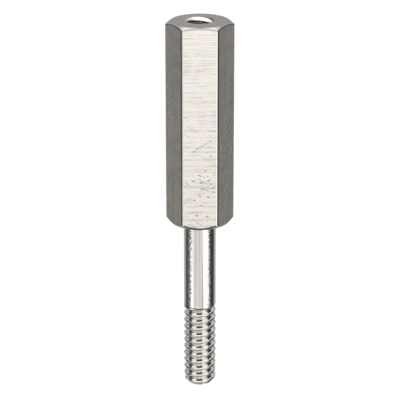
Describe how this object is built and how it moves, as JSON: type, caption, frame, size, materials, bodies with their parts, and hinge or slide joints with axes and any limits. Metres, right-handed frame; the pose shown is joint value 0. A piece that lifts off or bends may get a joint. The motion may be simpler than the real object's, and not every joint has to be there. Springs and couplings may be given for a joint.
{
  "type": "hex standoff",
  "caption": "Male-female hex standoff: a chamfered hexagonal body with a tapped hole in one end, and a stud with a plain shank and a threaded tip.",
  "frame": {"origin": "on the part's axis, in the plane of the shoulder that seats on the panel", "axes": "+Y along the axis towards the tapped end, with the stud towards -Y; +Z is the outward normal of the flat that faces up as the part lies"},
  "size_m": [0.0074, 0.0413, 0.0064],
  "materials": {
    "steel": "bare turned and ground stainless steel, with fine grain across the flats and a bright shank"
  },
  "bodies": {
    "root": {"standoff": "steel"}
  },
  "joints": []
}
